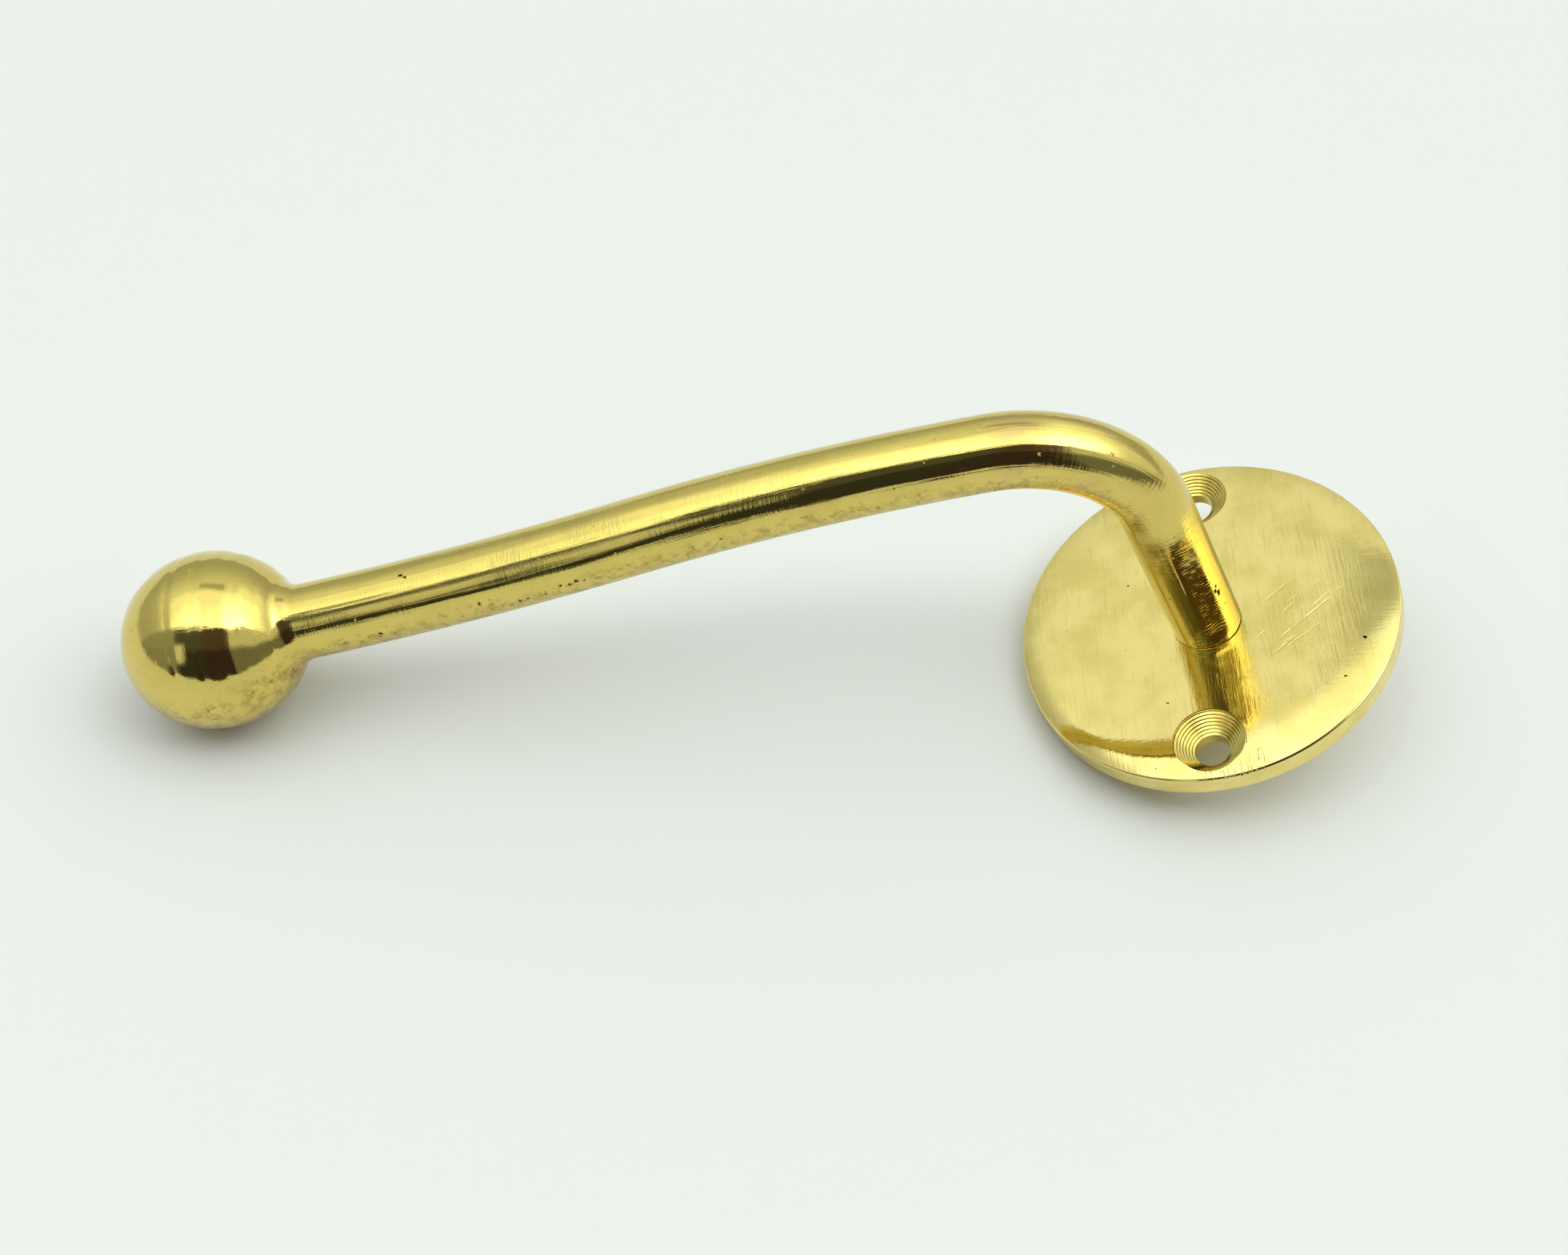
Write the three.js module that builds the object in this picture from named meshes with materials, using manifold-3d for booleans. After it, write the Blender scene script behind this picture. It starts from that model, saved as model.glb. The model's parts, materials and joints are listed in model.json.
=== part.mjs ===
// A ball-ended brass arm on a round rose: a curtain hold-back, lying as it comes to rest on a table.
// Three separate pieces: the rose, the cast arm with its ball, and the screw that joins them from the back.
// Millimetres. The row frame has +Z up from the table, +X from the ball towards the rose.
import * as THREE from "three";
import { mergeVertices } from "three/addons/utils/BufferGeometryUtils.js";
import Module from "manifold-3d";

// Driving dimensions. The rose frame has +Z out of the rose's face, +X away from the ball,
// and z = 0 at the front edge of the rim.
const roseRadius = 25;
const rimHeight = 3.25; // side band, from the flat back to the front edge
const crownHeight = 0.8; // the face's middle stands this far above its front edge
const crownRadius = 17; // where the nearly flat middle turns into the soft shoulder
const shoulderDrop = 0.15; // fall of the crown from the middle to that place
const edgeBreak = 0.25; // small chamfer round the back edge

const screwHoleReach = 19.7; // each wood-screw hole from the middle of the hole line
const screwHoleRadius = 2.25; // for a No. 8 wood screw
const countersinkRadius = 4.4; // mouth of the 90 degree countersink, at the face
const holeLineShift = -0.75; // hole line sits a little towards the ball
const holeLineSkew = THREE.MathUtils.degToRad(-4.3); // the arm is not quite square to the hole line

const footY = -1.1; // the foot sits a little off the rose's middle
const footRadius = 4.65; // rod radius at the foot
const neckRadius = 5; // rod radius at the ball
const ballRadius = 11.7;
const ballStretch = 1.05; // the ball is a little longer along the arm than across it
const neckFillet = 3; // concave radius between rod and ball

const stubLean = THREE.MathUtils.degToRad(3.1); // the stub leans towards the ball
const stubLength = 25;
const bendRadius = 18.6;
const bendAngle = THREE.MathUtils.degToRad(81);
const bowLength = 45; // gently arched stretch after the bend
const bowRadius = 275;
const tailLength = 59; // from the arched stretch to the ball's centre, curving very slightly back
const tailRadius = 455;

const screwRadius = 2.5; // M5 machine screw
const screwHeadRadius = 4.6;
const screwReach = 12; // how far the thread goes into the foot
const slotWidth = 1.2;
const slotDepth = 1.1;
const seatGap = 0.3; // clearance between touching pieces
const threadGap = 0.3;

const ringStep = 3.5; // spacing of the rod's sections along its length
const rodSides = 24;
const roseSides = 72;
const filletRings = 4;
const ballRings = 14;
const holeSides = 24;
const overcut = 1; // cutting tools run this far past the faces they cut

const wasm = await Module();
wasm.setup();

// Solids from closed three.js geometries, and back again.
function solid(geometry) {
  const bare = geometry.clone();
  bare.deleteAttribute("normal");
  bare.deleteAttribute("uv");
  const merged = mergeVertices(bare, 1e-4);
  return new wasm.Manifold(new wasm.Mesh({
    numProp: 3,
    vertProperties: merged.attributes.position.array,
    triVerts: new Uint32Array(merged.index.array),
  }));
}

function meshOf(body, name, material) {
  const { vertProperties, triVerts } = body.getMesh();
  const geometry = new THREE.BufferGeometry();
  geometry.setAttribute("position", new THREE.BufferAttribute(vertProperties, 3));
  geometry.setIndex(new THREE.BufferAttribute(triVerts, 1));
  geometry.computeVertexNormals();
  const mesh = new THREE.Mesh(geometry, material);
  mesh.name = name;
  return mesh;
}

// A solid of revolution about +Z from [radius, z] points that run upwards, axis to axis.
function turned(profile, sides) {
  const points = profile.map(([r, z]) => new THREE.Vector2(r, z));
  return new THREE.LatheGeometry(points, sides).rotateX(Math.PI / 2);
}

// Centreline of the rod: a straight stub, the bend, the arched stretch and the tail, as
// [length, curvature] with curvature positive where the line turns down towards the table.
const stretches = [
  [stubLength, 0],
  [bendAngle * bendRadius, 1 / bendRadius],
  [bowLength, 1 / bowRadius],
  [tailLength, -1 / tailRadius],
];
const rodLength = stretches.reduce((sum, [length]) => sum + length, 0);

// Place and direction at a distance along the centreline, in the rose frame's XZ plane.
// A distance below zero runs straight down into the rose.
function centreline(distance) {
  let x = 0;
  let z = crownHeight;
  let heading = Math.PI / 2 - stubLean; // angle above the rose's face, turned towards the ball
  let left = distance;
  for (const [length, curvature] of stretches) {
    const step = Math.min(left, length);
    const turn = step * curvature;
    const chord = curvature ? (2 / curvature) * Math.sin(turn / 2) : step;
    x -= Math.cos(heading - turn / 2) * chord;
    z += Math.sin(heading - turn / 2) * chord;
    heading -= turn;
    left -= step;
    if (left <= 0) break;
  }
  return { x, z, heading };
}

// Profile of the straight rod with its ball: rod, concave neck, ball.
function armProfile() {
  const profile = [[0, -overcut * 2], [footRadius, -overcut * 2]];
  const joinDistance = ballRadius + neckFillet;
  const filletCentre = neckRadius + neckFillet;
  const neckBack = ballStretch * Math.sqrt(joinDistance ** 2 - filletCentre ** 2);
  const neckStart = rodLength - neckBack;
  const rings = Math.round(neckStart / ringStep);
  for (let i = 0; i <= rings; i++) {
    const share = i / rings;
    profile.push([THREE.MathUtils.lerp(footRadius, neckRadius, share), share * neckStart]);
  }
  const sweep = Math.atan2(filletCentre, neckBack); // where fillet and ball meet, seen from the ball
  for (let i = 1; i <= filletRings; i++) {
    const a = (i / filletRings) * (Math.PI / 2 - sweep);
    const ahead = ballStretch * neckFillet * Math.sin(a);
    profile.push([filletCentre - neckFillet * Math.cos(a), neckStart + ahead]);
  }
  for (let i = 1; i < ballRings; i++) {
    const a = (1 - i / ballRings) * (Math.PI - sweep);
    profile.push([ballRadius * Math.sin(a), rodLength + ballStretch * ballRadius * Math.cos(a)]);
  }
  profile.push([0, rodLength + ballStretch * ballRadius]);
  return profile;
}

// The straight rod laid along the centreline. Past the ball's centre it goes on straight.
function bent(geometry) {
  const position = geometry.attributes.position;
  const point = new THREE.Vector3();
  for (let i = 0; i < position.count; i++) {
    point.fromBufferAttribute(position, i);
    const anchor = Math.min(point.z, rodLength);
    const { x, z, heading } = centreline(anchor);
    const ahead = point.z - anchor;
    position.setXYZ(
      i,
      x - Math.cos(heading) * ahead + Math.sin(heading) * point.x,
      point.y,
      z + Math.sin(heading) * ahead + Math.cos(heading) * point.x,
    );
  }
  return geometry;
}

function boltTool(radius, from, to) {
  return turned([[0, from], [radius, from], [radius, to], [0, to]], holeSides);
}

// Rose: a round plate with a flat back, an upright side band, and a face that is nearly flat
// in the middle and rolls softly down to a crisp front edge.
function rose() {
  const back = -rimHeight;
  const profile = [[0, back], [roseRadius - edgeBreak, back], [roseRadius, back + edgeBreak], [roseRadius, 0]];
  const shoulderSteps = 4;
  const shoulderTop = crownHeight - shoulderDrop;
  for (let i = 1; i <= shoulderSteps; i++) {
    const share = i / shoulderSteps;
    profile.push([
      THREE.MathUtils.lerp(roseRadius, crownRadius, share),
      shoulderTop * (1 - (1 - share) ** 2),
    ]);
  }
  profile.push([crownRadius / 2, crownHeight - shoulderDrop / 4], [0, crownHeight]);
  let body = solid(turned(profile, roseSides));

  // The line of wood-screw holes, each countersunk from the face.
  const slope = countersinkRadius - screwHoleRadius;
  const tool = turned([
    [0, back - overcut],
    [screwHoleRadius, back - overcut],
    [screwHoleRadius, -slope],
    [countersinkRadius + overcut, overcut],
    [0, overcut],
  ], holeSides);
  for (const side of [-1, 1]) {
    const x = holeLineShift * Math.cos(holeLineSkew) - side * screwHoleReach * Math.sin(holeLineSkew);
    const y = holeLineShift * Math.sin(holeLineSkew) + side * screwHoleReach * Math.cos(holeLineSkew);
    body = body.subtract(solid(tool.clone().translate(x, y, 0)));
  }

  // The hole for the joining screw, countersunk from the back.
  const hole = turned([
    [0, back - overcut],
    [screwHeadRadius + seatGap + overcut, back - overcut],
    [screwRadius + seatGap, back + screwHeadRadius - screwRadius],
    [screwRadius + seatGap, overcut],
    [0, overcut],
  ], holeSides);
  return body.subtract(solid(hole.translate(0, footY, 0)));
}

// Arm: one casting of rod, neck and ball. Its foot is cut flush with the rose and drilled.
function arm() {
  const rod = solid(bent(turned(armProfile(), rodSides)).translate(0, footY, 0));
  const seat = crownHeight + seatGap;
  const block = new THREE.BoxGeometry(4 * footRadius, 4 * footRadius, 4 * footRadius);
  const bore = boltTool(screwRadius + threadGap, 0, crownHeight + screwReach + threadGap);
  return rod
    .subtract(solid(block.translate(0, footY, seat - 2 * footRadius)))
    .subtract(solid(bore.translate(0, footY, 0)));
}

// Joining screw: countersunk and slotted, its head flush with the rose's back.
function joiningScrew() {
  const under = -rimHeight + seatGap;
  const neck = under + screwHeadRadius - screwRadius;
  const body = solid(turned([
    [0, under],
    [screwHeadRadius, under],
    [screwRadius, neck],
    [screwRadius, crownHeight + screwReach],
    [0, crownHeight + screwReach],
  ], holeSides).translate(0, footY, 0));
  const slot = new THREE.BoxGeometry(3 * screwHeadRadius, slotWidth, 2 * slotDepth);
  return body.subtract(solid(slot.translate(0, footY, under)));
}

const castBrass = new THREE.MeshStandardMaterial({ color: 0xc9a640, roughness: 0.22, metalness: 1 });
const roseBrass = new THREE.MeshStandardMaterial({ color: 0xc8a84a, roughness: 0.3, metalness: 1 });
const screwBrass = new THREE.MeshStandardMaterial({ color: 0xb08d3a, roughness: 0.35, metalness: 1 });

const holdback = new THREE.Group();
holdback.add(
  meshOf(rose(), "rose", roseBrass),
  meshOf(arm(), "ball_arm", castBrass),
  meshOf(joiningScrew(), "joining_screw", screwBrass),
);

// The hold-back rests on the back edge of the rose, on the ball's side, and on the ball.
// Its tilt is the slope of the line that touches both; the ball's own height depends on it a little.
const ball = centreline(rodLength);
const reach = -ball.x - (roseRadius - edgeBreak);
const rise = ball.z + rimHeight;
let tilt = 0;
for (let pass = 0; pass < 4; pass++) {
  const slope = ball.heading - tilt; // of the arm at the ball, above the table
  const underBall = ballRadius * Math.hypot(Math.cos(slope), ballStretch * Math.sin(slope));
  tilt = Math.atan2(rise, reach) - Math.asin(underBall / Math.hypot(reach, rise));
}
holdback.rotation.y = -tilt;

const resting = new THREE.Group();
resting.add(holdback);
const box = new THREE.Box3().setFromObject(resting, true);
const middle = box.getCenter(new THREE.Vector3());
holdback.position.set(-middle.x, -middle.y, -box.min.z);

export default resting;
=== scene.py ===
# %% [markdown]
# # A ball-ended brass hold-back on a round rose
# The object is three pieces of brass: a round rose that screws to the wall, an arm cast in one
# with its ball, and a screw that comes through the rose from the back and clamps the arm's foot.
# Polished brass has almost no colour of its own to paint: what the eye reads is the room in it.
# So this lesson spends its time on exact curved surfaces, on the marks that hand finishing
# leaves in them, and on a studio whose light and dark parts are worth reflecting.

import json
import math

import bmesh
import bpy
from mathutils import Matrix, Vector, noise


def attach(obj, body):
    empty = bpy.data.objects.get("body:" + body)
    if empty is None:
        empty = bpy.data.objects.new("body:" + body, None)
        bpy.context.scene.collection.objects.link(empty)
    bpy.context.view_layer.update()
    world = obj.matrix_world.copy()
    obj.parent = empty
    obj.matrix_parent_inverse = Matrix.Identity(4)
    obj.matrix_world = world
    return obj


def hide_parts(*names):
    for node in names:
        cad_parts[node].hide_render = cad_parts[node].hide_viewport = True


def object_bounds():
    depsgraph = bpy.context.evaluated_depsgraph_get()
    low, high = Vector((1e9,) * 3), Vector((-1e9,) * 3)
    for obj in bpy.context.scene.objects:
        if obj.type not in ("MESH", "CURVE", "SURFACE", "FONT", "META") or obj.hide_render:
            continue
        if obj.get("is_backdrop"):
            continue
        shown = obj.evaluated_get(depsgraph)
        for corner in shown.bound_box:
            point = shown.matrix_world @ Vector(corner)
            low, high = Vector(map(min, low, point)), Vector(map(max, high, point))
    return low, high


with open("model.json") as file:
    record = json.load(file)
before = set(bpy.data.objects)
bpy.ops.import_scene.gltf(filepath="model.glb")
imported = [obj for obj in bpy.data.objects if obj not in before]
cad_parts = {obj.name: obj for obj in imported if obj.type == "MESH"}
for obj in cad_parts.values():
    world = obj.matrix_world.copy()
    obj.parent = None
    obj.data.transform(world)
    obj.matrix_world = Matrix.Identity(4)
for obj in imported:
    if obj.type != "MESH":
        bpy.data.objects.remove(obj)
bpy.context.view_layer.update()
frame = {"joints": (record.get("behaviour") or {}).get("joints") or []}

# %% [markdown]
# The row frame is the table's: +Z up and +X from the ball to the rose. The rose is tilted in it,
# so its own frame is worth having. The swivel joint gives it: the joint's axis is the rose's
# normal, and its place is where the arm's foot meets the rose.

# %% The rose's own frame
MM = 0.001
CROWN = 0.8 * MM  # the foot's seat above the rose's front edge
FOOT_SHIFT = 1.1 * MM  # the foot is this far off the rose's middle

swivel = frame["joints"][0]
normal = Vector(swivel["axis"]).normalized()
across = Vector((0, 1, 0))
outward = across.cross(normal)
foot = Vector(swivel["pos_m"])
rose_middle = foot - CROWN * normal + FOOT_SHIFT * across

rose_to_row = Matrix((outward, across, normal)).transposed().to_4x4()
rose_to_row.translation = rose_middle
print("the rose leans", round(math.degrees(normal.angle((0, 0, 1))), 2), "degrees")

# %% [markdown]
# The arm's centreline is a chain of arcs and a straight: a stub that leans a little towards the
# ball, the bend, a long stretch that arches gently, and a tail that curves the other way. The
# finishes need its length too, so it is written down before them.

# %% The arm's stretches
STUB_LEAN = math.radians(3.1)
STRETCHES = [  # length, curvature; positive turns down towards the table
    (25 * MM, 0),
    (math.radians(81) * 18.6 * MM, 1 / (18.6 * MM)),
    (45 * MM, 1 / (275 * MM)),
    (59 * MM, -1 / (455 * MM)),
]
ROD_LENGTH = sum(length for length, curvature in STRETCHES)
print("the rod is", round(ROD_LENGTH / MM, 1), "mm long to the ball's centre")

# %% [markdown]
# ## Camera, floor and light
# A camera about 30 cm away looks down on the piece, level and along the arm's side. A small
# object seen this close needs its real distance, because perspective shapes the ellipses.
# The camera comes first so that every later step can be judged through it.

# %% Camera
LOOKS_DOWN = math.radians(52.75)
TURNED_RIGHT = math.radians(1.7)
ROLLED_LEFT = math.radians(0.36)
LENS = 53.43

camera_data = bpy.data.cameras.new("studio_camera")
camera_data.sensor_width = 36
camera_data.lens = LENS
camera_data.clip_start = 0.01
camera = bpy.data.objects.new("studio_camera", camera_data)
camera.location = (-0.0025, -0.1853, 0.2546)
aim = Matrix.Rotation(-TURNED_RIGHT, 3, "Z") @ Matrix.Rotation(math.pi / 2 - LOOKS_DOWN, 3, "X")
camera.rotation_euler = (aim @ Matrix.Rotation(ROLLED_LEFT, 3, "Z")).to_euler()
bpy.context.scene.collection.objects.link(camera)
bpy.context.scene.camera = camera
bpy.context.scene.view_settings.view_transform = "Standard"
print("camera to rose in mm:", round((camera.location - rose_middle).length / MM))

# %% [markdown]
# Shader and geometry trees are both built here with one small helper. `Wire` stands for an
# output socket and turns Python's arithmetic into Math nodes; `Bench.node` makes any other node
# from its type, its settings and the values or links of its inputs. Setting up nodes this way
# keeps the sums readable, which matters more than the few lines that it costs.


# %% Wires and the bench
class Wire:
    """An output socket that Python's operators can act on, by way of Math nodes."""

    def __init__(self, bench, socket):
        self.bench = bench
        self.socket = socket

    def math(self, operation, *values):
        inputs = dict(enumerate((self, *values)))
        return self.bench.node("ShaderNodeMath", {"operation": operation}, inputs)

    def __add__(self, other):
        return self.math("ADD", other)

    def __sub__(self, other):
        return self.math("SUBTRACT", other)

    def __mul__(self, other):
        return self.math("MULTIPLY", other)

    def __truediv__(self, other):
        return self.math("DIVIDE", other)

    def __pow__(self, other):
        return self.math("POWER", other)

    def __rsub__(self, other):
        return self.bench.node("ShaderNodeMath", {"operation": "SUBTRACT"}, {0: other, 1: self})

    def __rtruediv__(self, other):
        return self.bench.node("ShaderNodeMath", {"operation": "DIVIDE"}, {0: other, 1: self})

    __radd__ = __add__
    __rmul__ = __mul__

    def fade(self, start, end):
        """0 at start and before it, 1 at end and past it, smooth between; start may be larger."""
        low, high = min(start, end), max(start, end)
        rising = self.bench.node(
            "ShaderNodeMapRange",
            {"interpolation_type": "SMOOTHSTEP"},
            {"Value": self, "From Min": low, "From Max": high},
        )
        return rising if start < end else 1 - rising


class Bench:
    """A node tree, and the one way that nodes are added to it."""

    def __init__(self, tree):
        self.tree = tree

    def node(self, kind, settings=None, inputs=None, out=0):
        made = self.tree.nodes.new(kind)
        for name, value in (settings or {}).items():
            setattr(made, name, value)
        for name, value in (inputs or {}).items():
            socket = made.inputs[name]
            if isinstance(value, Wire):
                self.tree.links.new(value.socket, socket)
            else:
                socket.default_value = value
        if not made.outputs:
            return made
        return Wire(self, made.outputs[out])

    def split(self, vector):
        """A wire for each of a vector's three parts."""
        parts = self.node("ShaderNodeSeparateXYZ", inputs={0: vector}).socket.node
        return [Wire(self, parts.outputs[axis]) for axis in "XYZ"]


def blend_colour(bench, share, first, second):
    """Two colours, or links to them, mixed by share."""
    inputs = {"Factor": share, 6: first, 7: second}
    return bench.node("ShaderNodeMix", {"data_type": "RGBA"}, inputs, out=2)


# %% [markdown]
# The studio is a world gradient, brighter or darker by direction. Two numbers give a direction:
# `over` is the angle from the near horizon, up past the ceiling and down to the far horizon, and
# `x` is how far it points to the right. What the brass shows of each part of the room set its
# level: a bright ceiling with lamps, a dimmer far wall, and a dark place where somebody stands.
# That dark place draws the brown band along the arm, and its crisp right edge ends the band at
# the bend. The background itself stays plain and pale, so all this is for light and reflections.

# %% The studio
PALE = (0.87, 0.92, 0.87)  # the plain background
TABLE = (0.785, 0.79, 0.77)
ROOM_TINT = (0.97, 1.03, 1.0)
DARK_TINT = (1, 0.7, 0.72)  # the clothes of whoever stands there


def around(wire, middle, outer, inner):
    """1 within inner of the middle, 0 past outer."""
    return (wire - middle).math("ABSOLUTE").fade(outer, inner)


def overhead(x, over):
    """Ceiling and lamps, brightest just above the person's head, to the right."""
    ceiling = over.fade(122, 112) * x.fade(-0.8, -0.64) * x.fade(0.97, 0.6)
    right_lamp = x.fade(-0.05, 0.45) * x.fade(0.95, 0.7)
    lamps = right_lamp + around(x, -0.36, 0.24, 0.05) * 0.45
    lamps = lamps * over.fade(60, 68) * over.fade(118, 68)
    return ceiling * (0.4 + over.fade(106, 72) * 0.46 + lamps * 1.9)


def far_side(x, over):
    """The wall behind the table: lighter high up and to the right, with a dark beam across."""
    wall = 0.5 + over.fade(172, 116) * x.math("ABSOLUTE").fade(1.0, 0.6) * 0.49
    beam = around(over, 125, 8, 3) * x.fade(-0.3, -0.2) * x.fade(0.3, 0.1)
    return wall * (1 - beam * 0.42) + x.fade(0.15, 0.45) * over.fade(152, 126) * 0.4


def near_side(x, over, window):
    """The person and what shows to their left and right."""
    person = 0.04 + over.fade(34, 44) * 0.05 + x.fade(0.2, 0.3) * over.fade(28, 44) * 0.05
    left = x.fade(-0.6, -0.72) * 0.26 + window * 0.7
    right = x.fade(0.4, 0.5) * (0.16 + over.fade(32, 50) * 0.4)
    return person + left + right


def nearness(x, over, outlined):
    """1 where the near side is seen: a crisp outline where outlined, a soft one to the left."""
    raised = over - x.fade(-0.25, 0.0) * 5
    outline = outlined * raised.fade(64.5, 62) + (1 - outlined) * over.fade(73, 62)
    return outline * over.fade(-170, -160)


def studio_world():
    world = bpy.data.worlds.new("studio")
    world.use_nodes = True
    bpy.context.scene.world = world
    tree = world.node_tree
    tree.nodes.clear()
    bench = Bench(tree)
    coordinates = bench.node("ShaderNodeTexCoord", out="Generated")
    x, y, z = bench.split(coordinates)
    over = z.math("ARCTAN2", y * -1) * (180 / math.pi)  # 0 at the near horizon, 90 overhead

    outlined = x.fade(-0.24, -0.1)
    near = nearness(x, over, outlined)
    window = around(x, -0.58, 0.12, 0.04) * over.fade(14, 26) * over.fade(52, 40)
    above = far_side(x, over) + overhead(x, over)
    level = near * near_side(x, over, window) + (1 - near) * above
    dark = near * outlined * x.fade(0.46, 0.38) * (1 - window)
    tint = blend_colour(bench, dark, (*ROOM_TINT, 1), (*DARK_TINT, 1))

    room = bench.node("ShaderNodeBackground", inputs={"Color": tint, "Strength": level})
    plain = bench.node("ShaderNodeBackground", inputs={"Color": (*PALE, 1), "Strength": 1.0})
    seen = bench.node("ShaderNodeLightPath", out="Is Camera Ray")
    mixed = bench.node("ShaderNodeMixShader", inputs={0: seen, 1: room, 2: plain})
    bench.node("ShaderNodeOutputWorld", inputs={"Surface": mixed})
    return len(tree.nodes)


print("the studio has", studio_world(), "nodes")

# %% [markdown]
# The table is one large pale square under the piece. It isn't part of the object, so it is
# marked as backdrop. It fills the view from above, and from low down its far edge shows only
# as a faint change of tone.

# %% The table
TABLE_REACH = 3


def studio_floor():
    mesh = bpy.data.meshes.new("floor")
    corners = [
        (TABLE_REACH * x, TABLE_REACH * y, 0) for x, y in ((-1, -1), (1, -1), (1, 1), (-1, 1))
    ]
    mesh.from_pydata(corners, [], [(0, 1, 2, 3)])
    floor = bpy.data.objects.new("floor", mesh)
    bpy.context.scene.collection.objects.link(floor)
    material = bpy.data.materials.new("pale_table")
    material.use_nodes = True
    shader = material.node_tree.nodes["Principled BSDF"]
    shader.inputs["Base Color"].default_value = (*TABLE, 1)
    shader.inputs["Roughness"].default_value = 0.55
    shader.inputs["Specular IOR Level"].default_value = 0.25
    mesh.materials.append(material)
    floor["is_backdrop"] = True


studio_floor()
print("table:", 2 * TABLE_REACH, "m across")

# %% [markdown]
# ## Brass
# All the finishes are one recipe with different marks in it. A metal's Base Color is the colour
# of its reflections, so it is the yellow of the alloy, browner where tarnish stays in the
# hollows. Roughness is low and uneven, as buffing leaves it. Scratches and brush lines are too
# fine to model and go into a Bump node.

# %% Brass finishes
BRASS = (0.73, 0.58, 0.155)
PALE_BRASS = (0.92, 0.76, 0.275)
TARNISH = (0.16, 0.085, 0.02)
WORN_BRASS = (0.6, 0.46, 0.11)
SKIN_BRASS = (0.46, 0.34, 0.09)  # the casting's own skin, where no buff has reached
HEATED_BRASS = (0.66, 0.42, 0.2)  # pinkish, where the rod was heated to bend it
BRUSHED_BRASS = (0.66, 0.52, 0.17)
DULL_BRASS = (0.42, 0.28, 0.07)
PIT_FLOOR = (0.05, 0.03, 0.012)


def new_finish(name):
    """A metal material's bench and its shader node."""
    material = bpy.data.materials.new(name)
    material.use_nodes = True
    bench = Bench(material.node_tree)
    shader = material.node_tree.nodes["Principled BSDF"]
    shader.inputs["Metallic"].default_value = 1
    return material, bench, shader


def noise_at(bench, place, scale, detail=2.0, roughness=0.5, stretch=(1, 1, 1)):
    """Noise from 0 to 1 with a feature about 1 / scale metres long, stretched along an axis."""
    moved = bench.node("ShaderNodeVectorMath", {"operation": "MULTIPLY"}, {0: place, 1: stretch})
    inputs = {"Vector": moved, "Scale": scale, "Detail": detail, "Roughness": roughness}
    return bench.node("ShaderNodeTexNoise", inputs=inputs)


def fine_noise(bench, place, stretch, detail=2.0, roughness=0.5):
    """Noise with its own scale along each axis: lines, where one axis has far less than others."""
    return noise_at(bench, place, 1, detail, roughness, stretch)


def join_shader(bench, shader, colour, roughness, height, distance):
    """Feeds the sockets that vary over the surface."""
    bump = bench.node(
        "ShaderNodeBump", inputs={"Strength": 1.0, "Distance": distance, "Height": height}
    )
    for name, wire in (("Base Color", colour), ("Roughness", roughness), ("Normal", bump)):
        bench.tree.links.new(wire.socket, shader.inputs[name])


# %% [markdown]
# The arm's marks follow the rod through its bend, so they are drawn on an attribute, "unbent",
# that holds each point's place on the rod while it was still straight: fine strokes across it,
# hairlines along it, a heat tint at the bend, and below, where no buff reached, the pocked and
# dirty skin of the casting.

# %% The arm's finish
def arm_finish():
    """Buffed on top: fine strokes across the rod. Below, the skin of the casting stays."""
    material, bench, shader = new_finish("hand_polished_arm")
    unbent = bench.node("ShaderNodeAttribute", {"attribute_name": "unbent"}, out="Vector")
    px, py, distance = bench.split(unbent)
    radius = (px * px + py * py) ** 0.5
    cloud = noise_at(bench, unbent, 170, detail=4, roughness=0.6)
    strokes = fine_noise(bench, unbent, (330, 330, 3100), detail=3, roughness=0.65)
    hairlines = fine_noise(bench, unbent, (3000, 3000, 60), detail=3, roughness=0.6)
    patches = noise_at(bench, unbent, 110, detail=2)
    pocks = noise_at(bench, unbent, 1500, detail=3, roughness=0.6)
    grain = noise_at(bench, unbent, 3300, detail=2)

    wavering = px / radius + (patches - 0.5) * 0.5
    skin = wavering.fade(0.3, -0.05) * distance.fade(30 * MM, 48 * MM)
    heat = distance.fade(28 * MM, 34 * MM) * distance.fade(62 * MM, 46 * MM)
    heat = heat * noise_at(bench, unbent, 260, detail=3).fade(0.48, 0.68)
    mottle = noise_at(bench, unbent, 650, detail=4, roughness=0.7).fade(0.42, 0.62)
    dirt = pocks.fade(0.56, 0.68) * (0.2 + skin * 0.8) * mottle
    on_ball = distance.fade(ROD_LENGTH - 14 * MM, ROD_LENGTH - 9 * MM)

    worn = blend_colour(bench, cloud.fade(0.35, 0.75) * 0.45, (*BRASS, 1), (*WORN_BRASS, 1))
    dull = blend_colour(bench, skin * mottle * 0.75, worn, (*SKIN_BRASS, 1))
    warm = blend_colour(bench, heat * 0.5, dull, (*HEATED_BRASS, 1))
    colour = blend_colour(bench, dirt * 0.8, warm, (*TARNISH, 1))
    busy = patches.fade(0.42, 0.62)
    roughness = 0.05 + cloud * 0.05 + strokes.fade(0.5, 0.75) * busy * 0.1 + skin * 0.08
    height = (strokes * (0.16 + busy * 0.7) + hairlines * 0.45) * (1 - on_ball * 0.75) + grain * 0.1
    height = height + skin * (pocks * 1.1 + grain * 0.3)
    join_shader(bench, shader, colour, roughness, height, 0.00005)
    return material


# %% [markdown]
# The rose's marks lie in its own tilted plane. A Mapping node turns Object coordinates into the
# rose's frame, where brush lines run along the line of holes, a few stray scratches cross them
# beside the arm, and short ticks sit on the rim below the near hole.

# %% The rose's finish
SCRATCHES_AT = (12.5 * MM, -4 * MM)
TICKS_AT = -23.4 * MM
SCRATCH_SLANT = math.radians(-33)


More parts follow.
